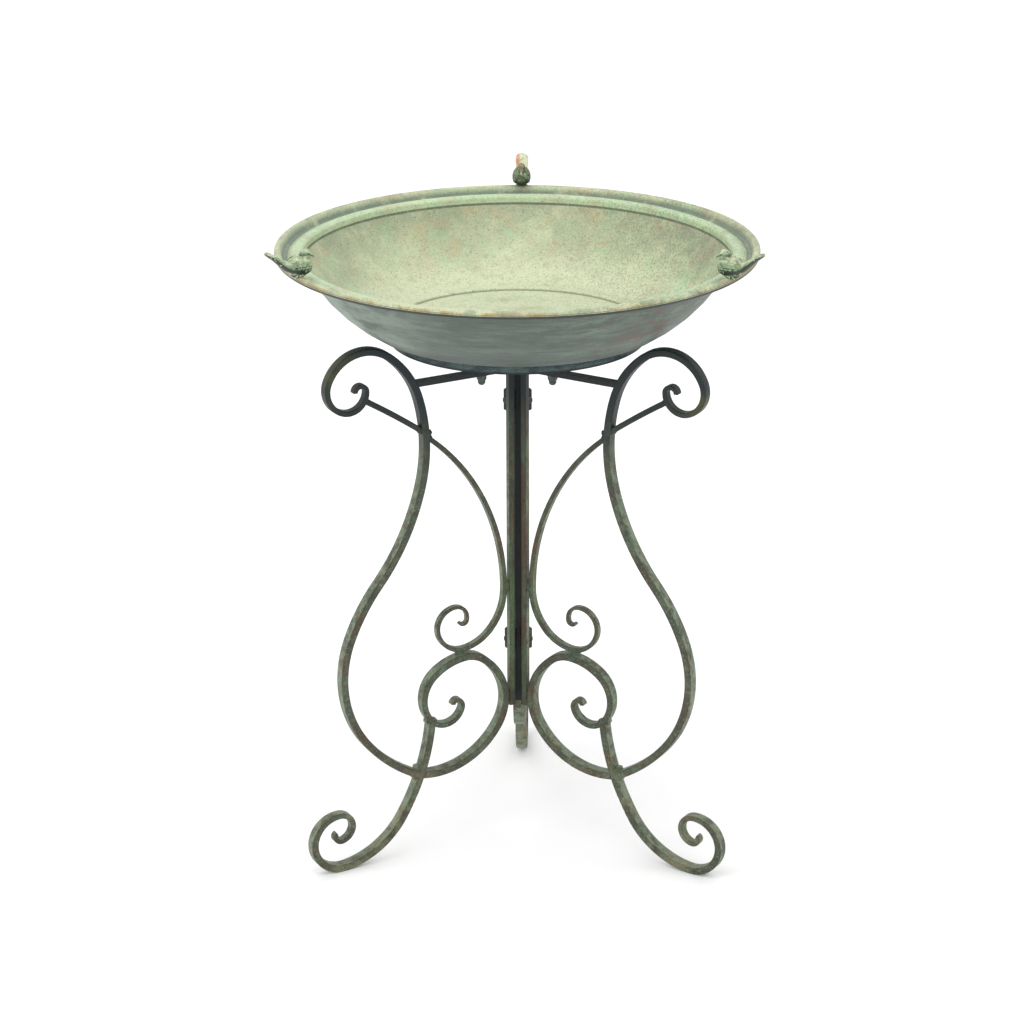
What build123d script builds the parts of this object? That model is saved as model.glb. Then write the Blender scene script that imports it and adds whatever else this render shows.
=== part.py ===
from build123d import *
import os

# Bird bath: a spun steel bowl with three small birds on its rim, on a stand of three flat scrollwork
# legs that bolt together at the middle. Millimetres, +Z up. The origin is where the axis of the stand
# meets the ground; the back leg stands at +Y, and the other two are 120 degrees to each side of it.

# ---- driving dimensions -------------------------------------------------------------------------
overall_height = 700.0      # ground to the tail tip of a bird
sheet = 1.2                 # steel sheet of the bowl
floor_height = 580.8        # middle of the sheet at the bowl floor
roll_radius = 3.0           # middle of the sheet in the rolled rim
# The bowl's profile runs from the centre outwards: ("line", length) or ("arc", radius, turn).
# It ends in the rolled rim, 252 mm from the axis on its outside.
bowl_profile = [
    ("line", 134.0),        # flat floor
    ("arc", 3.0, 60.0), ("arc", 3.0, -60.0),          # step up round the floor
    ("line", 5.2),          # ledge
    ("arc", 22.0, 30.0), ("arc", 175.0, 26.0), ("line", 18.2),                  # curved wall
    ("arc", 2.5, 28.0), ("line", 5.0), ("arc", 2.6, -54.0), ("arc", 9.0, -54.0),  # bead
    ("line", 5.6), ("arc", 3.4, 88.0), ("line", 5.9), ("arc", roll_radius, -245.0),  # channel, rolled edge
]

leg_angles = {"leg_left": 210.0, "leg_right": 330.0, "leg_back": 90.0}
main_bar = (13.0, 8.2)      # across the leg's plane, then thickness
curl_tip = (9.0, 4.8)       # the main bar, forged down at the end of a curl
thin_bar = (8.0, 5.3)
thin_tip = (5.6, 3.6)
brace_bar = (8.0, 6.0)
main_round = 1.6
thin_round = 0.9

# Each scroll is a chain of arcs, ((r, z), heading, [(radius, turn), ...]), in the leg's own plane.
crossing = (127.0, 93.5)
outer_scroll_line = (crossing, 27.0, [(176, 25), (125, 60.5), (212, 17.6), (255, -26), (187, -30),
                                      (97, -37)])
top_curl_bends = [(44.5, -104.5), (26, -97), (20.5, -106), (6.5, -178)]
inner_scroll_line = (crossing, 196.0, [(89, -73), (57.6, -63), (73, -24), (33, -38), (63, -36)])
inner_curl_bends = [(37, -96), (21.5, -120), (8.5, -69), (5, -118)]
foot_line = ((109.1, 151.3), -83.6, [(245, 26), (95, 51.2), (33.4, 67)])
foot_curl_bends = [(30.3, 122), (15.2, 82.5), (15.9, 84.3), (7, 79), (3.8, 90)]
tendril_line = ((103.97, 473.1), -140.3, [(237, 27.6), (240, 20), (273, 2.5), (65, 42.3), (50.4, 40.5)])
tendril_curl_bends = [(30, 81.6), (22, 104.3), (14.2, 105.3), (4.9, 135)]
brace_points = [(178.0, 527.0), (150.5, 509.5), (114.0, 484.0)]

post_bar = (6.2, 7.0)       # across the leg's plane, then along its radius
post_radius = 8.8           # stand axis to the middle of a post bar
post_bottom, post_top = 150.0, 541.0
arm_height = 537.3          # middle of the level arm under the bowl
arm_bar = (12.0, 5.0)
stud_radius = 43.0          # stand axis to a bowl stud
stud_body, stud_thread = 5.0, 3.0
stud_hole = 3.3
stud_end = 526.5
washer_radius, washer_thickness = 6.0, 1.0
cap_hex, cap_hex_height, cap_height, cap_dome = 9.0, 4.2, 6.4, 4.1

hoop_outer, hoop_wall, hoop_bottom = 135.2, 3.0, 571.0

tab_heights = (225.0, 499.0)   # middles of the lower and the upper joining tabs
tab_length, tab_thickness, tab_reach, tab_chamfer = 24.0, 2.6, 15.8, 1.2
tab_angle = 30.0               # the rear junction on the right; the left one mirrors it
bolt_radius, bolt_reach = 2.0, 11.6
bolt_end = 4.2                 # bolt standing out past its two tabs
hex_flats, head_height, nut_height = 7.0, 2.8, 3.2
clearance = 0.05


# ---- shared shapes ------------------------------------------------------------------------------
def heading_vector(degrees):
    """Unit vector of a heading in a flat drawing, counted from +X towards +Y."""
    return Vector(1, 0).rotate(Axis.Z, degrees)


def arc_chain(start, heading, bends):
    """Tangent arcs one after another. A positive turn is to the left."""
    edges = []
    tangent = heading_vector(heading)
    for radius, turn in bends:
        edge = JernArc(start=start, tangent=tangent, radius=radius, arc_size=turn)
        edges.append(edge)
        start, tangent = edge @ 1, edge % 1
    return edges


def section_at(edge, place, size, rounding):
    """Rounded rectangle across a bar: size is (across the leg's plane, thickness)."""
    plane = Plane(origin=edge @ place, x_dir=(0, 0, 1), z_dir=edge % place)
    return plane * RectangleRounded(size[0], size[1], rounding)


def swept_bar(edges, size, rounding):
    """A bar of one section along a chain of edges."""
    return sweep(section_at(edges[0], 0, size, rounding), path=Wire(edges))


def tapered_bar(edges, size, tip, rounding, tip_rounding):
    """A bar that narrows evenly from size to tip along a chain of edges."""
    ends = [section_at(edges[0], 0, size, rounding), section_at(edges[-1], 1, tip, tip_rounding)]
    return sweep(ends, path=Wire(edges), multisection=True)


def scroll(line, curl_bends, size, tip, rounding, lead=0.0):
    """A scroll bar: a straight lead-in if any, an even stretch, then a curl forged down to its tip."""
    start, heading, bends = line
    even = arc_chain(start, heading, bends)
    if lead:
        even.insert(0, Line(Vector(*start) - heading_vector(heading) * lead, start))
    last = even[-1]
    direction = last % 1
    curl_heading = direction.get_signed_angle(Vector(1, 0), Vector(0, 0, -1))
    curl = arc_chain(last @ 1, curl_heading, curl_bends)
    return swept_bar(even, size, rounding) + tapered_bar(curl, size, tip, rounding, rounding * 0.6)


def stand_up(shape):
    """Turns a shape drawn flat as (r, z) upright into the leg's plane, r along +X."""
    return Rot(X=90) * shape


def largest(shape):
    """The biggest solid of a shape, without slivers that a cut leaves behind."""
    return sorted(shape.solids(), key=lambda solid: solid.volume)[-1]


def upright_cylinder(radius, bottom, top):
    """Cylinder on the Z axis between two heights."""
    return Pos(0, 0, bottom) * Cylinder(radius, top - bottom, align=(Align.CENTER, Align.CENTER, Align.MIN))


def hex_prism(across_flats, bottom, top):
    """Hexagonal prism along Z."""
    side = RegularPolygon(across_flats / 2, 6, major_radius=False, rotation=30)
    return Pos(0, 0, bottom) * extrude(side, top - bottom)


# ---- bowl ---------------------------------------------------------------------------------------
def profile_side(offset):
    """One side of the bowl's sheet: the middle line moved by offset, to the left of its heading."""
    position, heading, edges = Vector(0, floor_height + offset), 0.0, []
    for kind, *values in bowl_profile:
        tangent = heading_vector(heading)
        if kind == "line":
            edge = Line(position, position + tangent * values[0])
        else:
            radius, turn = values
            shifted = radius - offset if turn > 0 else radius + offset
            edge = JernArc(start=position, tangent=tangent, radius=shifted, arc_size=turn)
            heading += turn
        edges.append(edge)
        position = edge @ 1
    return edges


def bowl():
    """Spun bowl: floor, step, curved wall, bead, channel and rolled rim in one sheet."""
    inside, outside = profile_side(sheet / 2), profile_side(-sheet / 2)
    closing = [Line(inside[0] @ 0, outside[0] @ 0), Line(inside[-1] @ 1, outside[-1] @ 1)]
    section = make_face(Wire(inside + outside + closing))
    return revolve(Plane.XZ * section, axis=Axis.Z)


def foot_hoop():
    """Flat bar hoop welded under the bowl floor."""
    top = floor_height - sheet / 2
    return upright_cylinder(hoop_outer, hoop_bottom, top) - upright_cylinder(
        hoop_outer - hoop_wall, hoop_bottom, top)


def on_three_legs(shape):
    """Copies of a shape that is placed on +X, turned to each leg."""
    return [Rot(Z=angle) * shape for angle in leg_angles.values()]


def bowl_studs():
    """Round studs welded under the bowl floor. Each stands on an arm and its thread goes through it."""
    arm_top = arm_height + arm_bar[1] / 2
    stud = upright_cylinder(stud_body, arm_top, floor_height - sheet / 2)
    stud += upright_cylinder(stud_thread - clearance, stud_end, arm_top)
    return on_three_legs(Pos(stud_radius, 0, 0) * stud)


def stud_washers():
    """Plain washers under the arms, one round each stud's thread."""
    top = arm_height - arm_bar[1] / 2
    bottom = top - washer_thickness
    washer = upright_cylinder(washer_radius, bottom, top) - upright_cylinder(stud_hole, bottom, top)
    return on_three_legs(Pos(stud_radius, 0, 0) * washer)


def cap_nuts():
    """Domed nuts that hold the bowl down, with a blind bore for the stud's thread."""
    top = arm_height - arm_bar[1] / 2 - washer_thickness
    nut = hex_prism(cap_hex, top - cap_hex_height, top)
    nut += upright_cylinder(cap_dome, top - cap_height, top - cap_hex_height)
    nut += Pos(0, 0, top - cap_height) * Sphere(cap_dome)
    nut -= upright_cylinder(stud_thread, stud_end - 0.3, top)
    return on_three_legs(Pos(stud_radius, 0, 0) * nut)


# ---- one leg, drawn in its own plane ------------------------------------------------------------
def leg_pieces():
    """The welded bars of one leg, by name, with the leg's plane on XZ and its radius along +X."""
    drilled = Pos(stud_radius, 0, 0) * upright_cylinder(stud_hole, 500, 560)
    ground = Pos(0, 0, -20) * Box(600, 60, 40)
    post_face = post_radius + post_bar[1] / 2

    foot = stand_up(scroll(foot_line, foot_curl_bends, main_bar, curl_tip, main_round)) - ground
    outer = stand_up(scroll(outer_scroll_line, top_curl_bends, main_bar, curl_tip, main_round)) - foot
    inner = stand_up(scroll(inner_scroll_line, inner_curl_bends, main_bar, curl_tip, main_round))
    foot = largest(foot - inner_above_crossing(inner))
    inner = largest(inner - foot)
    outer = largest(outer)
    waist = outer.bounding_box().min.X          # the outer scroll's face nearest the axis
    tendril = stand_up(scroll(tendril_line, tendril_curl_bends, thin_bar, thin_tip, thin_round, lead=9.0))
    tendril &= Pos(waist, 0, 300) * Box(300, 40, 600, align=(Align.MAX, Align.CENTER, Align.CENTER))
    brace_line = [ThreePointArc(*brace_points)]
    brace = stand_up(swept_bar(brace_line, brace_bar, thin_round)) - outer
    arm = Pos(0, 0, arm_height) * Box(130 - post_face, arm_bar[0], arm_bar[1],
                                      align=(Align.MIN, Align.CENTER, Align.CENTER))
    arm = Pos(post_face, 0, 0) * arm - outer - drilled
    post = Pos(post_radius, 0, post_bottom) * Box(
        post_bar[1], post_bar[0], post_top - post_bottom, align=(Align.CENTER, Align.CENTER, Align.MIN))
    return {"outer_scroll": outer, "inner_scroll": inner, "foot_bar": foot, "tendril": largest(tendril),
            "curl_brace": largest(brace), "bowl_arm": largest(arm), "post_bar": post}


def inner_above_crossing(inner):
    """The part of the inner scroll that the foot bar's upper end butts against."""
    return inner & Pos(100, 0, 150) * Box(60, 40, 60)


def weld_beads(pieces):
    """Weld metal that bridges the narrow gaps: tendril and loop to the post, and curl to loop."""
    post_face = post_radius + post_bar[1] / 2
    bridges = [Pos(post_face + 2, 0, 291) * Box(4, 4, 12), Pos(post_face + 2, 0, 161) * Box(4, 4, 14),
               Pos(73, 0, 224) * Box(15, 5, 9)]
    bars = pieces["tendril"] + pieces["inner_scroll"] + pieces["post_bar"]
    return [largest(bridge - bars) for bridge in bridges]


# ---- joints between the legs --------------------------------------------------------------------
def joining_tab(height):
    """Tab on the +Y side of a junction that lies along +X, welded to the side of a post bar."""
    corner = Polyline((3.5, 0), (tab_reach - 2, 0), (tab_reach, 0), (tab_reach, tab_thickness),
                      (7.9, tab_thickness), (6.7, 7.0), (4.6, 3.4), (3.5, 0))
    tab = Pos(0, 0, height - tab_length / 2) * extrude(make_face(corner), tab_length)
    outer_edges = tab.edges().filter_by(Axis.Y).sort_by(Axis.X)[-2:]
    tab = chamfer(outer_edges, tab_chamfer)
    hole = Pos(bolt_reach, 0, height) * Rot(X=90) * Cylinder(bolt_radius + 0.3, 40)
    return tab - hole


def tab_bolt(height):
    """Hex bolt across a junction that lies along +X, its head on the -Y side."""
    grip = 2 * tab_thickness
    bolt = upright_cylinder(bolt_radius - clearance, 0, grip + bolt_end)
    bolt += hex_prism(hex_flats, -head_height, 0)
    return Pos(bolt_reach, -tab_thickness, height) * Rot(X=-90) * bolt


def tab_nut(height):
    """Hex nut on the +Y side of the same junction."""
    nut = hex_prism(hex_flats, 0, nut_height) - upright_cylinder(bolt_radius, 0, nut_height)
    return Pos(bolt_reach, tab_thickness, height) * Rot(X=-90) * nut


def tabs_for(leg, post):
    """The tabs welded to one leg's post bar."""
    sides = {"leg_left": [(180 - tab_angle, False)], "leg_right": [(tab_angle, True)],
             "leg_back": [(180 - tab_angle, True), (tab_angle, False)]}
    tabs = []
    for angle, flip in sides[leg]:
        for height in tab_heights:
            tab = joining_tab(height)
            if flip:
                tab = mirror(tab, about=Plane.XZ)
            tabs.append(largest(Rot(Z=angle) * tab - post))
    return tabs


# ---- birds --------------------------------------------------------------------------------------
def ellipsoid(length, radius):
    """Ellipsoid of revolution with its long axis on X."""
    half = Ellipse(length / 2, radius) & Pos(0, radius / 2) * Rectangle(length, radius)
    return revolve(half, axis=Axis.X)


def bird():
    """A small perched songbird on the rim at +X: it faces the axis, with its tail up and outwards."""
    body = Pos(252.5, 0, 682.5) * Rot(Y=-12) * ellipsoid(29, 8.4)
    chest = Pos(246.0, 0, 686.0) * Sphere(7.2)
    head = Pos(242.6, 0, 693.2) * Sphere(5.5)
    beak = Pos(234.6, 0, 691.8) * Rot(Y=-106) * Cone(2.4, 0.5, 8.4)
    tail_side = make_face(Polyline((255, 683), (263, 690.5), (284, overall_height), (286.5, 698.2),
                                   (283.5, 695.8), (262, 678.5), (255, 683)))
    tail = extrude(Plane.XZ * tail_side, 5.5, both=True)
    legs = [Pos(249.5, side, 674.5) * Cylinder(1.3, 9) for side in (-4, 4)]
    toes = [Pos(247.5, side, 671.6) * Box(10, 3.4, 2.4) for side in (-4, 4)]
    figure = body + chest + head + beak + tail
    for piece in legs + toes:
        figure += piece
    return figure


# ---- assembly -----------------------------------------------------------------------------------
def build():
    nodes = {}
    nodes["bowl"] = [bowl()]
    nodes["foot_hoop"] = [foot_hoop()]
    nodes["bowl_studs"] = bowl_studs()
    nodes["stud_washers"] = stud_washers()
    nodes["cap_nuts"] = cap_nuts()
    pieces = leg_pieces()
    pieces["weld_beads"] = Compound(children=weld_beads(pieces))
    for leg, angle in leg_angles.items():
        for name, piece in pieces.items():
            nodes[f"{leg}_{name}"] = [Rot(Z=angle) * piece]
        nodes[f"{leg}_joining_tabs"] = tabs_for(leg, nodes[f"{leg}_post_bar"][0])
    for node, fastener in (("tab_bolts", tab_bolt), ("tab_nuts", tab_nut)):
        near = [Rot(Z=tab_angle) * fastener(height) for height in tab_heights]
        nodes[node] = near + [mirror(piece, about=Plane.YZ) for piece in near]
    perched = largest(bird() - nodes["bowl"][0])
    for leg, angle in leg_angles.items():
        nodes[leg.replace("leg", "bird")] = [Rot(Z=angle) * perched]
    return nodes


os.makedirs("parts", exist_ok=True)
for name, shapes in build().items():
    solids = [solid for shape in shapes for solid in shape.solids()]
    whole = solids[0] if len(solids) == 1 else Compound(children=solids)
    export_step(whole, f"parts/{name}.step")
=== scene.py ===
import bpy
import bmesh
import math
from mathutils import Matrix, Vector, noise


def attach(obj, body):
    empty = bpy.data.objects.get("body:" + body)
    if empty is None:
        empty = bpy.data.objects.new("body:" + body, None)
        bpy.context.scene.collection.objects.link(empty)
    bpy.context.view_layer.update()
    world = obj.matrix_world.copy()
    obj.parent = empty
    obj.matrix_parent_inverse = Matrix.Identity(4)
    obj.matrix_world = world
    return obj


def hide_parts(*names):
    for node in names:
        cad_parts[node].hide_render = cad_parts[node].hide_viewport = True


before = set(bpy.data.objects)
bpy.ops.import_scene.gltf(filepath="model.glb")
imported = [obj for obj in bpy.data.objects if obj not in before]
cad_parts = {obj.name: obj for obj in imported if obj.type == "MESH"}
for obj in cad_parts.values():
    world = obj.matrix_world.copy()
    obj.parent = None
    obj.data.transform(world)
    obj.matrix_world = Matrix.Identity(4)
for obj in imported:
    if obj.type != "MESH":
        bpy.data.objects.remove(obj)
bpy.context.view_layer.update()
mm = 0.001
legAngles = {"left": 210, "right": 330, "back": 90}  # degrees round the stand, 90 is the back
print("frame loaded:", len(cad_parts), "nodes")


# small tools

def linear(hexColour):
    channels = [int(hexColour[i:i + 2], 16) / 255 for i in (1, 3, 5)]
    return [c / 12.92 if c <= 0.04045 else ((c + 0.055) / 1.055) ** 2.4 for c in channels] + [1.0]


def addNode(tree, kind, settings=None, inputs=None):
    node = tree.nodes.new(kind)
    for name, value in (settings or {}).items():
        setattr(node, name, value)
    for key, value in (inputs or {}).items():
        if isinstance(value, bpy.types.NodeSocket):
            tree.links.new(value, node.inputs[key])
        else:
            node.inputs[key].default_value = value
    return node


def newPiece(name, mesh, material, replaced, smoothAngle):
    mesh.name = name
    piece = bpy.data.objects.new(name, mesh)
    bpy.context.scene.collection.objects.link(piece)
    mesh.materials.clear()
    mesh.materials.append(material)
    mesh.shade_smooth()
    mesh.set_sharp_from_angle(angle=math.radians(smoothAngle))
    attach(piece, "root")
    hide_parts(*replaced)
    return piece


def legTurn(angle):
    return Matrix.Rotation(math.radians(angle), 4, "Z")


# materials

# Each layer is (colour, cover, pattern, follows). A pattern is (size in mm, detail, low, high, stretch in z)
# and follows lists (measure, low, high). A layer covers only where its pattern and all its measures are high.
paints = {
    "spunSteelVerdigris": dict(  # verdigris sponged on spun sheet steel: chalky pale green, fine dark grit
        base="#b0b897", roughness=0.5, shine=0.35, tone=(0.84, 1.04),
        shutIn=4 * mm, relief=0.2, grain=2.0 * mm,
        layers=[
            # sponged greens and greys all over
            ("#c9d0ab", 0.80, (110, 3, 0.38, 0.62, 1), []),
            ("#a3c99f", 0.60, (40, 4, 0.48, 0.68, 1), []),
            ("#b5ab90", 0.50, (32, 5, 0.48, 0.66, 1), []),
            # inside: paler low down as painted light on the floor, darker up the wall and at the two sides as
            # painted shade, rusty in patches
            ("#ccd2b3", 0.75, (60, 3, 0.30, 0.55, 1), [("height", 0.618, 0.590), ("up", -0.1, 0.1)]),
            ("#879176", 0.80, (30, 4, 0.20, 0.66, 1), [("height", 0.606, 0.658), ("radius", 0.2232, 0.2224)]),
            ("#7c7f69", 0.55, (24, 5, 0.36, 0.64, 1), [("x", 0.04, 0.20), ("height", 0.60, 0.63)]),
            ("#939d86", 0.45, (30, 4, 0.30, 0.60, 1), [("x", -0.10, -0.20), ("height", 0.60, 0.62)]),
            ("#bd9e76", 0.32, (62, 3, 0.56, 0.70, 1), [("height", 0.590, 0.61)]),
            ("#b98452", 0.45, (20, 4, 0.60, 0.68, 1), [("height", 0.59, 0.61), ("x", -0.05, 0.05)]),
            # minty bead with a painted highlight on its crest, painted shade darkening the channel except at
            # the front, then the rolled edge, gilt outermost
            ("#b2cca6", 0.75, (30, 5, 0.30, 0.60, 1), [("height", 0.6570, 0.6584), ("radius", 0.2222, 0.2226),
                                                    ("radius", 0.2360, 0.2340)]),
            ("#63766a", 0.85, (26, 4, 0.22, 0.52, 1), [("radius", 0.2365, 0.2392), ("radius", 0.2455, 0.2428),
                                                     ("y", -0.18, -0.05)]),
            ("#c3bd98", 0.60, (30, 4, 0.36, 0.60, 1), [("radius", 0.2455, 0.2490)]),
            ("#7d8f7c", 0.60, (34, 4, 0.46, 0.60, 1), [("radius", 0.2450, 0.2475)]),
            ("#967a40", 0.70, (22, 5, 0.38, 0.60, 1), [("radius", 0.2509, 0.2518)]),
            # outside: level grey-green streaks, paler at the left as painted light, rusty at the right; painted
            # shade keeps the whole underside dark, darker low down, with a painted shadow under the rim
            ("#56625b", 1.00, None, [("up", 0.02, -0.12), ("radius", 0.256, 0.2508)]),
            ("#6a766d", 0.70, (60, 4, 0.42, 0.62, 7), [("up", 0.02, -0.12)]),
            ("#435049", 0.50, (30, 5, 0.46, 0.66, 10), [("up", 0.02, -0.12)]),
            ("#8c9a8c", 0.80, (70, 3, 0.34, 0.60, 3), [("up", 0.02, -0.12), ("x", -0.05, -0.16)]),
            ("#6d4b41", 0.55, (28, 5, 0.48, 0.60, 5), [("up", 0.02, -0.12), ("x", 0.02, 0.14)]),
            ("#73917a", 0.45, (26, 4, 0.52, 0.64, 3), [("up", 0.02, -0.12), ("x", 0.0, 0.10)]),
            ("#333e39", 0.60, None, [("up", 0.02, -0.12), ("height", 0.606, 0.588)]),
            ("#252c29", 0.85, None, [("up", 0.02, -0.12), ("radius", 0.2240, 0.2300)]),
            # painted shade: dark lines at the foot of the bead and round the floor, and in creases
            ("#454d3e", 0.80, (12, 4, 0.10, 0.40, 1), [("radius", 0.2220, 0.2225), ("radius", 0.2240, 0.2232),
                                                    ("height", 0.6582, 0.6572), ("up", -0.1, 0.1)]),
            ("#6b735c", 0.80, None, [("radius", 0.1330, 0.1342), ("radius", 0.1366, 0.1354),
                                     ("up", -0.1, 0.1)]),
            ("#2b322d", 0.40, None, [("shut", 0.40, 0.15)]),
            # grit
            ("#4e5642", 0.58, (1.8, 3, 0.56, 0.66, 1), []),
            ("#dfe4c8", 0.22, (2.4, 3, 0.58, 0.68, 1), [("up", -0.1, 0.1)]),
            ("#555c48", 0.50, (2.2, 4, 0.50, 0.62, 1), [("x", -0.02, 0.16), ("up", -0.1, 0.1)]),
            ("#8b9278", 0.30, (7, 4, 0.50, 0.66, 1), [("up", -0.1, 0.1)])]),
    "forgedBarVerdigris": dict(  # verdigris rubbed over bronze on forged bar: satin, worn to brown
        base="#515b4a", roughness=0.45, shine=0.3, tone=(0.60, 0.98),
        shutIn=9 * mm, relief=0.35, grain=1.7 * mm,
        layers=[
            # green, worn through to bronze and brown
            ("#667660", 0.85, (60, 5, 0.42, 0.58, 1), []),
            ("#413d31", 0.75, (15, 6, 0.48, 0.60, 1), []),
            ("#664a34", 0.60, (24, 6, 0.48, 0.60, 1), [("height", 0.52, 0.38)]),
            # more and paler green on the band faces and darker flat faces, painted light and shade by the way
            # each face turns; gilt near the feet
            ("#8b9b80", 0.75, (10, 6, 0.40, 0.60, 1), [("flat", 0.75, 0.25), ("height", 0.54, 0.38)]),
            ("#3b4136", 0.60, (12, 5, 0.34, 0.60, 1), [("flat", 0.30, 0.80)]),
            ("#94906f", 0.50, (30, 5, 0.44, 0.62, 1), [("height", 0.16, 0.02)]),
            # long streaks down the posts
            ("#62784f", 0.60, (16, 5, 0.46, 0.60, 0.12), [("radius", 0.034, 0.024)]),
            ("#5e4436", 0.75, (13, 5, 0.47, 0.60, 0.10), [("radius", 0.034, 0.024)]),
            # blackened at the top, painted shadow of the bowl over darker paint; olive on the outside of the
            # curls
            ("#15242a", 0.93, None, [("height", 0.43, 0.525)]),
            ("#4f5434", 0.75, (60, 4, 0.32, 0.56, 1), [("height", 0.43, 0.50), ("radius", 0.175, 0.222)]),
            # green left in the corners, brown arrises, grit, and painted shade blackening the groove between
            # the posts
            ("#76967a", 0.65, (7, 5, 0.36, 0.56, 1), [("shut", 0.78, 0.52), ("height", 0.50, 0.40),
                                                    ("radius", 0.020, 0.040)]),
            ("#39291c", 0.75, (9, 5, 0.38, 0.54, 1), [("edge", 0.995, 0.93)]),
            ("#1e2622", 0.60, (1.8, 3, 0.56, 0.66, 1), []),
            ("#97a38a", 0.45, (2.6, 3, 0.57, 0.68, 1), [("height", 0.52, 0.40), ("radius", 0.012, 0.030)]),
            ("#0f191d", 0.92, None, [("radius", 0.0080, 0.0060)])]),
    "hoopPaintedShadeVerdigris": dict(  # the same finish, painted dark and cool as painted shade where the bowl shades it
        base="#34454a", roughness=0.45, shine=0.3, tone=(0.66, 1.02),
        shutIn=6 * mm, relief=0.3, grain=1.7 * mm,
        layers=[
            ("#51635f", 0.80, (50, 5, 0.42, 0.60, 4), []),
            ("#1f2e33", 0.75, (16, 6, 0.46, 0.60, 3), []),
            # black along the lower edge, and painted shade in the corners
            ("#131d21", 0.90, None, [("height", 0.5738, 0.5722)]),
            ("#141e21", 0.85, None, [("shut", 0.65, 0.40)]),
            ("#1a2324", 0.55, (1.8, 3, 0.57, 0.67, 1), [])]),
    "castBirdVerdigris": dict(  # cast metal, painted shade below and in the hollows, dry-brushed pale green on the feathers, with painted light on the upper faces
        base="#65795e", roughness=0.48, shine=0.35, tone=(0.76, 1.06),
        shutIn=2.6 * mm, relief=0.2, grain=0.9 * mm,
        layers=[
            ("#94ab86", 0.80, (11, 5, 0.38, 0.58, 1), []),
            # paler green on the upper faces: painted light over the dry-brushed green
            ("#c9d3b0", 0.75, (5, 5, 0.40, 0.58, 1), [("up", 0.05, 0.65)]),
            ("#b08a62", 0.40, (9, 5, 0.52, 0.64, 1), [("up", 0.0, 0.5)]),
            # the back bird has a pale tail, rusty at one side, a darker body and a rusty face
            ("#d2d2b4", 0.85, (9, 4, 0.30, 0.50, 1), [("y", 0.262, 0.268)]),
            ("#bf7346", 0.85, (9, 4, 0.34, 0.52, 1), [("y", 0.262, 0.268), ("x", -0.0010, -0.0046)]),
            ("#49563f", 0.80, (8, 4, 0.30, 0.54, 1), [("y", 0.215, 0.225), ("y", 0.262, 0.256)]),
            ("#bd7f55", 0.75, (6, 4, 0.40, 0.56, 1), [("y", 0.215, 0.225), ("y", 0.240, 0.237),
                                                     ("height", 0.690, 0.694)]),
            # painted shade dark below and in the hollows, pale on the ridges
            ("#222b27", 0.92, None, [("up", 0.05, -0.30)]),
            ("#dfe6c6", 0.85, None, [("point", 0.52, 0.57)]),
            ("#212a22", 0.92, None, [("shut", 0.72, 0.38)]),
            ("#1f2620", 0.92, None, [("point", 0.48, 0.41)]),
            ("#23291f", 0.35, (1.2, 3, 0.58, 0.68, 1), [])]),
    "boltBronze": dict(  # dark bronze paint on plated steel fasteners
        base="#37403b", roughness=0.42, shine=0.35, tone=(0.7, 1.0),
        shutIn=4 * mm, relief=0.2, grain=1.0 * mm,
        layers=[
            ("#5d6d60", 0.70, (8, 5, 0.45, 0.60, 1), []),
            ("#37302a", 0.60, (6, 5, 0.50, 0.62, 1), []),
            # painted shade in the crevices
            ("#1c211f", 0.80, None, [("shut", 0.60, 0.35)])]),
}


brushwork = dict(  # the same for every paint
    patchRoughness=0.68, grainRoughness=0.75, grainDetail=3, grainLow=0.3, grainHigh=0.7,
    smoother=0.08, rougher=0.14, grainDepth=0.4 * mm, arrisWidth=2.2 * mm, refraction=1.5,
    drift=(0.37, 0.61, 0.23))  # metres that each layer's pattern is moved on from the last, so none repeat


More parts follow.
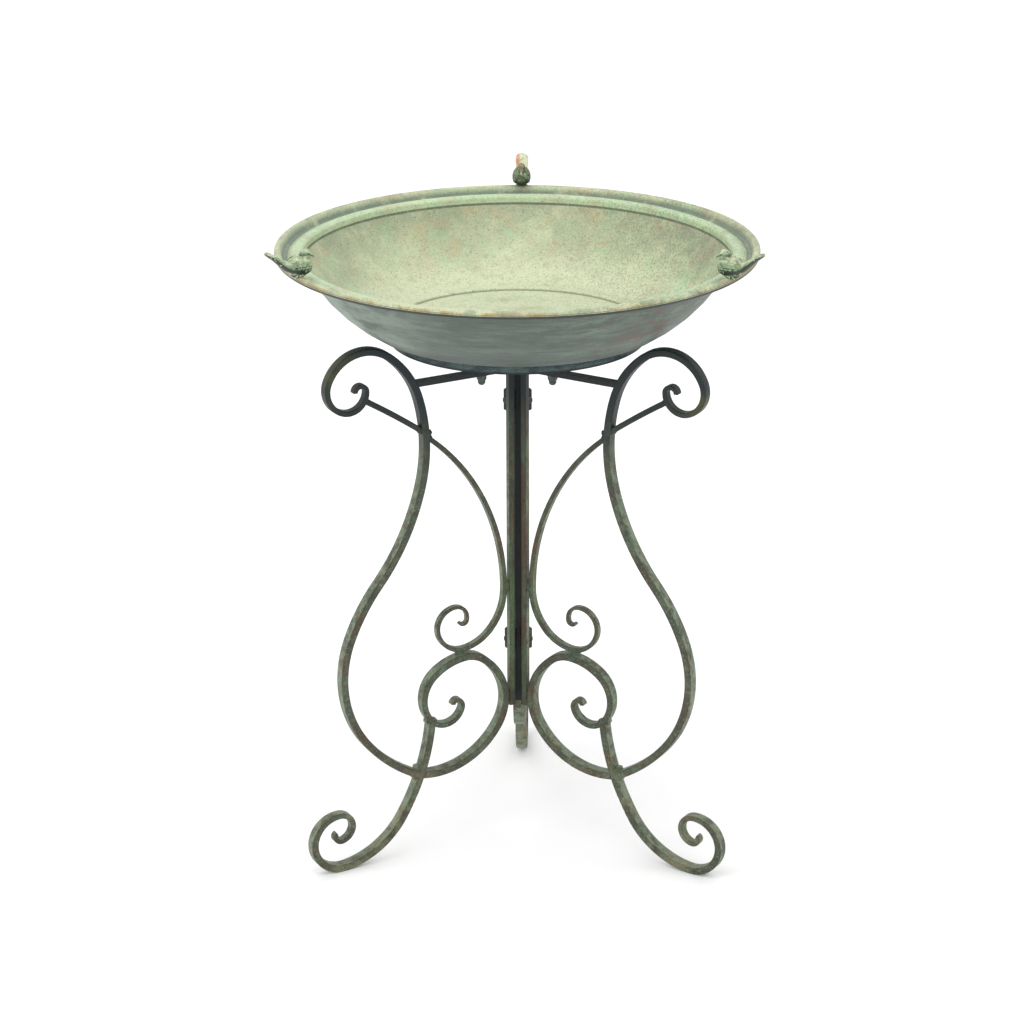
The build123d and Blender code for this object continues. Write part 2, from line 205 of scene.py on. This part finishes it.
def paintMaterial(name):
    paint = paints[name]
    material = bpy.data.materials.new(name)
    material.use_nodes = True
    tree = material.node_tree
    tree.nodes.clear()
    place = addNode(tree, "ShaderNodeTexCoord").outputs["Object"]
    surface = addNode(tree, "ShaderNodeNewGeometry").outputs
    axes = addNode(tree, "ShaderNodeSeparateXYZ", {}, {0: place}).outputs
    facing = addNode(tree, "ShaderNodeSeparateXYZ", {}, {0: surface["Normal"]}).outputs
    level = addNode(tree, "ShaderNodeVectorMath", {"operation": "MULTIPLY"}, {
        0: place, 1: (1, 1, 0)}).outputs[0]
    outward = addNode(tree, "ShaderNodeVectorMath", {"operation": "NORMALIZE"}, {0: level}).outputs[0]
    around = addNode(tree, "ShaderNodeVectorMath", {"operation": "CROSS_PRODUCT"}, {
        0: (0, 0, 1), 1: outward}).outputs[0]
    across = addNode(tree, "ShaderNodeVectorMath", {"operation": "DOT_PRODUCT"}, {
        0: around, 1: surface["Normal"]}).outputs["Value"]
    measures = {
        "x": axes[0], "y": axes[1], "height": axes[2], "up": facing[2], "point": surface["Pointiness"],
        "radius": addNode(tree, "ShaderNodeVectorMath", {"operation": "LENGTH"}, {0: level}).outputs["Value"],
        "flat": addNode(tree, "ShaderNodeMath", {"operation": "ABSOLUTE"}, {0: across}).outputs[0]}
    used = {measure for layer in paint["layers"] for measure, low, high in layer[3]}
    if "shut" in used:       # 1 in the open, towards 0 in a crease
        measures["shut"] = addNode(tree, "ShaderNodeAmbientOcclusion", {"samples": 6}, {
            "Distance": paint["shutIn"]}).outputs["AO"]
    if "edge" in used:       # 1 on a flat, less at an arris
        soft = addNode(tree, "ShaderNodeBevel", {"samples": 4}, {
            "Radius": brushwork["arrisWidth"]}).outputs[0]
        measures["edge"] = addNode(tree, "ShaderNodeVectorMath", {"operation": "DOT_PRODUCT"}, {
            0: soft, 1: surface["Normal"]}).outputs["Value"]
    colour = linear(paint["base"])
    for number, (hexColour, cover, pattern, follows) in enumerate(paint["layers"]):
        share = cover
        if pattern:
            size, detail, low, high, stretch = pattern
            spot = addNode(tree, "ShaderNodeMapping", {}, {
                "Vector": place, "Location": [step * number for step in brushwork["drift"]],
                "Scale": (1, 1, stretch)}).outputs[0]
            noiseValue = addNode(tree, "ShaderNodeTexNoise", {}, {
                "Vector": spot, "Scale": 1 / (size * mm), "Detail": detail,
                "Roughness": brushwork["patchRoughness"]}).outputs[0]
            share = addNode(tree, "ShaderNodeMapRange", {"interpolation_type": "SMOOTHSTEP"}, {
                "Value": noiseValue, "From Min": low, "From Max": high, "To Max": cover}).outputs[0]
        for measure, low, high in follows:
            kept = addNode(tree, "ShaderNodeMapRange", {"interpolation_type": "SMOOTHSTEP"}, {
                "Value": measures[measure], "From Min": low, "From Max": high}).outputs[0]
            share = addNode(tree, "ShaderNodeMath", {"operation": "MULTIPLY"}, {0: share, 1: kept}).outputs[0]
        colour = addNode(tree, "ShaderNodeMix", {"data_type": "RGBA"}, {
            0: share, 6: colour, 7: linear(hexColour)}).outputs[2]
    grain = addNode(tree, "ShaderNodeTexNoise", {}, {
        "Vector": place, "Scale": 1 / paint["grain"], "Detail": brushwork["grainDetail"],
        "Roughness": brushwork["grainRoughness"]}).outputs[0]
    shade = addNode(tree, "ShaderNodeMapRange", {}, {
        "Value": grain, "From Min": brushwork["grainLow"], "From Max": brushwork["grainHigh"],
        "To Min": paint["tone"][0], "To Max": paint["tone"][1]}).outputs[0]
    colour = addNode(tree, "ShaderNodeVectorMath", {"operation": "SCALE"}, {
        0: colour, "Scale": shade}).outputs[0]
    rough = addNode(tree, "ShaderNodeMapRange", {}, {
        "Value": grain, "From Min": brushwork["grainLow"], "From Max": brushwork["grainHigh"],
        "To Min": paint["roughness"] - brushwork["smoother"],
        "To Max": paint["roughness"] + brushwork["rougher"]}).outputs[0]
    bump = addNode(tree, "ShaderNodeBump", {}, {
        "Height": grain, "Strength": paint["relief"], "Distance": brushwork["grainDepth"]}).outputs[0]
    coat = addNode(tree, "ShaderNodeBsdfPrincipled", {}, {
        "Base Color": colour, "Roughness": rough, "Normal": bump, "IOR": brushwork["refraction"],
        "Specular IOR Level": paint["shine"]})
    addNode(tree, "ShaderNodeOutputMaterial", {}, {"Surface": coat.outputs[0]})
    return material


materials = {name: paintMaterial(name) for name in paints}
print("materials made:", ", ".join(materials))

# cast and welded skins

castSoftness = 0.5   # how far one smoothing pass draws each point to its neighbours


def castForm(form, voxel):
    # makes a crowd of overlapping closed shapes in millimetres one closed skin in metres
    mesh = bpy.data.meshes.new("rough")
    bmesh.ops.scale(form, vec=(mm, mm, mm), verts=form.verts)
    bmesh.ops.recalc_face_normals(form, faces=form.faces)
    form.to_mesh(mesh)
    form.free()
    rough = bpy.data.objects.new("rough", mesh)
    bpy.context.scene.collection.objects.link(rough)
    remesh = rough.modifiers.new("cast", "REMESH")
    remesh.mode, remesh.voxel_size = "VOXEL", voxel * mm
    settle = rough.modifiers.new("settle", "SMOOTH")
    settle.factor, settle.iterations = castSoftness, 1
    bpy.context.view_layer.update()
    cast = bpy.data.meshes.new_from_object(rough.evaluated_get(bpy.context.evaluated_depsgraph_get()))
    bpy.data.objects.remove(rough)
    return cast


# the bars, hoop and fasteners keep their CAD shape: their meshes are joined up and smoothed

cadWeld = 0.004 * mm   # the triangles of a CAD mesh are loose, and their corners are joined within this
cadSmooth = 32         # degrees between faces that still shade as one

barFinish = {
    "foot_hoop": ("hoopPaintedShadeVerdigris", "hoop_verdigris"), "bowl_studs": ("hoopPaintedShadeVerdigris", "hoop_verdigris"),
    "stud_washers": ("boltBronze", "fastener_bronze"), "cap_nuts": ("boltBronze", "fastener_bronze"),
    "tab_bolts": ("boltBronze", "fastener_bronze"), "tab_nuts": ("boltBronze", "fastener_bronze"),
}


def finishCadNode(node):
    # what barFinish doesn't name is a bar of the stand
    finish, slotName = barFinish.get(node, ("forgedBarVerdigris", "stand_verdigris"))
    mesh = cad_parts[node].data.copy()
    form = bmesh.new()
    form.from_mesh(mesh)
    bmesh.ops.remove_doubles(form, verts=form.verts, dist=cadWeld)
    form.to_mesh(mesh)
    form.free()
    for layer in list(mesh.attributes):
        if layer.name == "custom_normal":
            mesh.attributes.remove(layer)
    return newPiece(node + "_finished", mesh, materials[finish], [node], cadSmooth)


ownShape = ["bowl", "bird_left", "bird_right", "bird_back"]
for node in sorted(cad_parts):
    if node not in ownShape and not node.endswith("weld_beads"):
        finishCadNode(node)
print("bars and fasteners finished")

# weld metal: rough lumps where the bars of a leg meet, made once in the leg's plane (r, 0, z)

weldShape = dict(
    voxel=0.6, rough=0.55, wave=2.6, smooth=80,  # mm, and degrees between faces that shade as one
    fineShare=0.5, fineTimes=2.3,     # a finer ripple on the first: its share, and how many times finer
    lumps=[  # place (r, z), half sizes along r, across the leg and up
        ((127.0, 100.2), (3.6, 6.3, 3.6)),   # crossing
        ((127.0, 86.8), (3.6, 6.3, 3.4)),
        ((121.0, 93.0), (3.2, 6.3, 3.4)),
        ((133.2, 94.4), (3.2, 6.3, 3.4)),
        ((127.0, 93.5), (7.6, 6.9, 7.2)),
        ((104.6, 152.0), (2.8, 5.6, 3.2)),   # foot bar and loop
        ((114.0, 153.0), (2.8, 5.6, 3.2)),
        ((109.0, 152.4), (5.6, 6.6, 3.4)),
        ((105.6, 475.0), (3.4, 4.2, 4.6)),   # tendril and waist
        ((105.0, 481.5), (2.4, 3.6, 3.0)),
        ((177.0, 526.6), (4.0, 4.4, 3.6)),   # brace ends
        ((116.4, 485.4), (3.8, 4.6, 3.6)),
        ((113.6, 489.0), (2.4, 4.0, 2.8)),
        ((121.4, 536.6), (4.2, 5.8, 3.8)),   # arm and waist
        ((119.4, 532.2), (2.6, 3.8, 4.6)),
        ((13.6, 540.2), (2.6, 4.4, 2.0)),   # arm and post
        ((13.6, 533.6), (3.0, 4.4, 2.6)),
        ((13.8, 291.0), (2.4, 2.9, 7.2)),   # tendril and post
        ((13.8, 161.0), (2.4, 3.2, 8.4)),   # loop and post
        ((73.0, 224.0), (6.0, 2.9, 4.4)),   # tendril curl and loop
        ((70.2, 220.6), (4.2, 3.2, 2.0)),
        ((75.4, 227.6), (4.2, 3.2, 2.0))])


def weldLumps():
    form = bmesh.new()
    for (r, z), half in weldShape["lumps"]:
        bmesh.ops.create_icosphere(form, subdivisions=3, radius=1.0, matrix=Matrix.Translation((r, 0, z))
                                   @ Matrix.Diagonal((*half, 1)))
    for point in form.verts:
        at = point.co / weldShape["wave"]
        ripple = noise.noise(at) + weldShape["fineShare"] * noise.noise(at * weldShape["fineTimes"])
        point.co += point.normal * ripple * weldShape["rough"]
    return castForm(form, weldShape["voxel"])


lumps = weldLumps()
for side, angle in legAngles.items():
    mesh = lumps.copy()
    mesh.transform(legTurn(angle))
    newPiece("leg_" + side + "_welds", mesh, materials["forgedBarVerdigris"],
             ["leg_" + side + "_weld_beads"], weldShape["smooth"])
print("welds laid:", len(lumps.polygons), "faces on each leg")

# the bowl: one spun sheet

bowlShape = dict(
    sheet=1.2, floorHeight=580.8, turns=288, join=0.01,  # mm
    facetTurn=6.0, smooth=60,  # degrees: the turn of one facet, and between faces that shade as one
    line=[("line", 134.0), ("arc", 3.0, 60.0), ("arc", 3.0, -60.0), ("line", 5.2), ("arc", 22.0, 30.0),
          ("arc", 175.0, 26.0), ("line", 18.2), ("arc", 2.5, 28.0), ("line", 5.0), ("arc", 2.6, -54.0),
          ("arc", 9.0, -54.0), ("line", 5.6), ("arc", 3.4, 88.0), ("line", 5.9), ("arc", 3.0, -245.0)])


def profilePoints(offset):
    at, heading = Vector((0.0, bowlShape["floorHeight"] + offset)), 0.0
    points = [at.copy()]
    for kind, *size in bowlShape["line"]:
        if kind == "line":
            at = at + Vector((math.cos(heading), math.sin(heading))) * size[0]
            points.append(at.copy())
            continue
        radius, turn = size[0] - math.copysign(offset, size[1]), math.radians(size[1])
        steps = max(2, round(abs(size[1]) / bowlShape["facetTurn"]))
        side = math.copysign(1, turn)
        centre = at + Vector((-math.sin(heading), math.cos(heading))) * radius * side
        for step in range(1, steps + 1):
            now = heading + turn * step / steps
            at = centre - Vector((-math.sin(now), math.cos(now))) * radius * side
            points.append(at.copy())
        heading += turn
    return points


def spunBowl():
    inside, outside = profilePoints(bowlShape["sheet"] / 2), profilePoints(-bowlShape["sheet"] / 2)
    form = bmesh.new()
    ring = [form.verts.new((p.x * mm, 0, p.y * mm)) for p in inside + outside[::-1]]
    wire = [form.edges.new(pair) for pair in zip(ring, ring[1:])]
    bmesh.ops.spin(form, geom=ring + wire, cent=(0, 0, 0), axis=(0, 0, 1), angle=math.tau,
                   steps=bowlShape["turns"], use_merge=True)
    bmesh.ops.remove_doubles(form, verts=form.verts, dist=bowlShape["join"] * mm)
    bmesh.ops.recalc_face_normals(form, faces=form.faces)
    mesh = bpy.data.meshes.new("bowl")
    form.to_mesh(mesh)
    form.free()
    return newPiece("bowl_spun", mesh, materials["spunSteelVerdigris"], ["bowl"],
                    bowlShape["smooth"])


spunBowl()
print("bowl spun")

# the birds: one cast songbird in millimetres, x outwards, y across and z up, set on the rim three times

birdShape = dict(
    voxel=0.4, smooth=80,
    middle=[  # centre, half sizes, tilt in degrees, round the ball in facets
        ((247.6, 0, 681.0), (13.4, 8.8, 9.6), -20.0, 32),   # body
        ((241.6, 0, 682.2), (6.6, 7.6, 8.2), 0.0, 24),      # breast
        ((242.5, 0, 687.4), (6.0, 5.8, 7.0), -35.0, 24),    # neck
        ((241.8, 0, 692.6), (5.8, 4.7, 5.3), 0.0, 24),      # head
        ((251.0, 0, 672.8), (7.0, 4.6, 3.4), 0.0, 24)],     # the casting's foot under the body
    sides=[  # the same for both sides: centre, half sizes, tilt, turn, facets
        ((250.2, 6.9, 682.2), (10.2, 2.6, 5.6), 22, -8, 24),   # folded wing
        ((239.2, 4.3, 693.9), (1.15, 0.8, 1.15), 0, 0, 24),    # eye
        ((250.0, 3.8, 674.4), (1.7, 1.7, 4.4), 0, 0, 24),      # leg
        ((247.2, 3.09, 671.6), (4.6, 1.0, 1.1), 6, -20, 12),   # three front toes
        ((247.2, 4.0, 671.6), (4.6, 1.0, 1.1), 6, 0, 12),
        ((247.2, 4.91, 671.6), (4.6, 1.0, 1.1), 6, 20, 12),
        ((252.6, 3.8, 670.6), (3.0, 1.1, 1.2), 30, 0, 12)],    # back toe
    wingTip=[  # along the tail: x, y, z, half width, half thickness, lean
        (251.6, 7.0, 680.5, 1.6, 3.6, -24), (259.6, 5.6, 682.4, 1.4, 2.6, -30),
        (265.6, 4.2, 685.6, 0.8, 1.2, -34)],
    beakLean=14, beakOpen=1.68,  # degrees, and mm that the two tips stand apart
    beakRoot=(238.2, 691.4), beakTip=(229.6, 687.6),
    beakRings=[  # from which end, ahead and up of it, share of the parting, half width, half thickness
        ("root", 0.0, 0.0, 1.0, 2.4, 1.5), ("root", -3.4, -0.5, 1.2, 1.7, 1.0),
        ("tip", 2.0, 0.5, 0.0, 0.9, 0.6), ("tip", 0.0, 0.0, 0.0, 0.35, 0.3)],
    tail=[  # x, z, half width, half thickness, from the rump to the rounded tip
        (256.0, 680.4, 7.4, 6.4), (262.0, 682.0, 6.6, 5.0), (269.0, 686.8, 6.6, 3.6),
        (276.0, 692.4, 7.3, 2.8), (280.6, 695.6, 7.2, 2.5), (283.4, 697.3, 5.6, 2.1), (284.8, 698.1, 2.8, 1.3)])
feathers = dict(
    rows=6, firstRow=48, rowStep=17, columns=5, columnStep=19, stagger=9,  # degrees along and round the body
    half=(3.2, 2.3, 1.3), lift=0.30, sweep=(1, 0, -0.25))  # mm, radians off the body, direction


def ball(form, centre, half, tilt, across, detail):
    turn = Matrix.Rotation(math.radians(tilt), 4, "Y") @ Matrix.Rotation(math.radians(across), 4, "Z")
    bmesh.ops.create_uvsphere(form, u_segments=detail, v_segments=detail // 2, radius=1.0,
                              matrix=Matrix.Translation(centre) @ turn @ Matrix.Diagonal((*half, 1)))


def loft(form, stations, segments):
    # closed rings of (centre, half width, half thickness, lean in degrees), joined one to the next
    rings = []
    for centre, halfWidth, halfThick, lean in stations:
        turn = Matrix.Rotation(math.radians(lean), 4, "Y") @ Matrix.Rotation(math.radians(90), 4, "Y")
        made = bmesh.ops.create_circle(form, segments=segments, radius=1.0, cap_ends=False,
                                       matrix=Matrix.Translation(centre) @ turn
                                       @ Matrix.Diagonal((halfThick, halfWidth, 1, 1)))
        rings.append(made["verts"])
    for first, second in zip(rings, rings[1:]):
        edges = [e for e in form.edges if (e.verts[0] in first and e.verts[1] in first)
                 or (e.verts[0] in second and e.verts[1] in second)]
        bmesh.ops.bridge_loops(form, edges=edges)
    for ring in (rings[0], rings[-1]):
        form.faces.new(ring)


def featherRows(form):
    place, bodyHalf, bodyTilt = birdShape["middle"][0][:3]
    centre, half = Vector(place), Vector(bodyHalf)
    tilt = Matrix.Rotation(math.radians(bodyTilt), 4, "Y")
    for row in range(feathers["rows"]):
        along = math.radians(feathers["firstRow"] + feathers["rowStep"] * row)
        for column in range(-feathers["columns"], feathers["columns"] + 1):
            if column == 0:
                continue
            stagger = feathers["stagger"] * math.copysign(1, column) if row % 2 else 0
            turned = math.radians(column * feathers["columnStep"] + stagger)
            local = Vector((-math.cos(along), math.sin(along) * math.sin(turned),
                            math.sin(along) * math.cos(turned)))
            point = tilt @ Vector(a * b for a, b in zip(local, half))
            normal = (tilt @ Vector(a / b for a, b in zip(local, half))).normalized()
            back = Vector(feathers["sweep"])
            back = (back - normal * back.dot(normal)).normalized()
            side = normal.cross(back)
            lift = (back * math.cos(feathers["lift"]) + normal * math.sin(feathers["lift"])).normalized()
            turn = Matrix((lift, side, lift.cross(side))).transposed().to_4x4()
            bmesh.ops.create_uvsphere(
                form, u_segments=10, v_segments=6, radius=1.0,
                matrix=Matrix.Translation(centre + point) @ turn @ Matrix.Diagonal((*feathers["half"], 1)))


def beak(form):
    ends = {"root": birdShape["beakRoot"], "tip": birdShape["beakTip"]}
    for half in (0.5, -0.5):   # upper, then lower
        opened = birdShape["beakOpen"] * half
        rings = []
        for end, ahead, rise, spread, width, thick in birdShape["beakRings"]:
            x, z = ends[end]
            apart = half * spread if end == "root" else opened
            rings.append(((x + ahead, 0, z + rise + apart), width, thick, birdShape["beakLean"]))
        loft(form, rings, 12)


def tail(form):
    rings, line = [], birdShape["tail"]
    for i, (x, z, width, thick) in enumerate(line):
        ahead, behind = line[min(i + 1, len(line) - 1)], line[max(i - 1, 0)]
        lean = -math.degrees(math.atan2(ahead[1] - behind[1], ahead[0] - behind[0]))
        rings.append(((x, 0, z), width, thick, lean))
    loft(form, rings, 24)


def castBird():
    form = bmesh.new()
    for centre, half, tilt, facets in birdShape["middle"]:
        ball(form, centre, half, tilt, 0.0, facets)
    beak(form)
    tail(form)
    for side in (-1, 1):
        for (x, y, z), half, tilt, turn, facets in birdShape["sides"]:
            ball(form, (x, side * y, z), half, tilt, side * turn, facets)
        loft(form, [((x, side * y, z), width, thick, lean)
                    for x, y, z, width, thick, lean in birdShape["wingTip"]], 12)
    featherRows(form)
    return castForm(form, birdShape["voxel"])


bird = castBird()
for side, angle in legAngles.items():
    mesh = bird.copy()
    mesh.transform(legTurn(angle))
    newPiece("bird_" + side + "_cast", mesh, materials["castBirdVerdigris"],
             ["bird_" + side], birdShape["smooth"])
print("birds cast:", len(bird.vertices), "vertices each")

# floor, light and camera

studio = dict(
    floorSize=30, floorWhite=(0.97, 0.97, 0.97, 1), floorRoughness=0.9,
    world=1.12,  # strength
    lamps=[  # name, place, aim, size in metres, watts
        ("softTop", (-0.3, -0.3, 2.6), (0, 0, 0.4), 1.8, 14),
        ("softLeft", (-2.2, -1.6, 1.7), (0, 0, 0.5), 1.4, 14),
        ("softRight", (2.2, -1.4, 1.3), (0, 0, 0.4), 1.2, 4)])

floorMesh = bpy.data.meshes.new("floor")
form = bmesh.new()
bmesh.ops.create_grid(form, x_segments=1, y_segments=1, size=studio["floorSize"])
form.to_mesh(floorMesh)
form.free()
floor = bpy.data.objects.new("floor", floorMesh)
bpy.context.scene.collection.objects.link(floor)
paper = bpy.data.materials.new("whitePaper")
paper.use_nodes = True
paperCoat = paper.node_tree.nodes["Principled BSDF"]
paperCoat.inputs["Base Color"].default_value = studio["floorWhite"]
paperCoat.inputs["Roughness"].default_value = studio["floorRoughness"]
floorMesh.materials.append(paper)

world = bpy.data.worlds.new("studio")
bpy.context.scene.world = world
world.use_nodes = True
world.node_tree.nodes["Background"].inputs["Color"].default_value = (1, 1, 1, 1)
world.node_tree.nodes["Background"].inputs["Strength"].default_value = studio["world"]
for name, place, aim, size, watts in studio["lamps"]:
    lamp = bpy.data.lights.new(name, "AREA")
    lamp.energy, lamp.size = watts, size
    lampObject = bpy.data.objects.new(name, lamp)
    bpy.context.scene.collection.objects.link(lampObject)
    lampObject.location = place
    lampObject.rotation_euler = (Vector(aim) - Vector(place)).to_track_quat("-Z", "Y").to_euler()

view = dict(distance=2.912, height=1.458, down=20.43, orbit=1.2, pan=0.125, roll=-0.22,
            sensor=36, lens=2894 / 1024 * 36, farthest=100)  # metres, degrees and the lens in millimetres
camera = bpy.data.cameras.new("camera")
camera.lens, camera.sensor_width = view["lens"], view["sensor"]
camera.clip_end = view["farthest"]
cameraObject = bpy.data.objects.new("camera", camera)
bpy.context.scene.collection.objects.link(cameraObject)
orbit = math.radians(view["orbit"])
cameraObject.location = (
    view["distance"] * math.sin(orbit), -view["distance"] * math.cos(orbit), view["height"])
aim = Matrix.Rotation(orbit + math.radians(view["pan"]), 4, "Z")
tip = Matrix.Rotation(math.radians(90 - view["down"]), 4, "X")
roll = Matrix.Rotation(math.radians(view["roll"]), 4, "Z")
cameraObject.rotation_euler = (aim @ tip @ roll).to_euler()
bpy.context.scene.camera = cameraObject
bpy.context.scene.view_settings.view_transform = "Standard"
print("studio set")
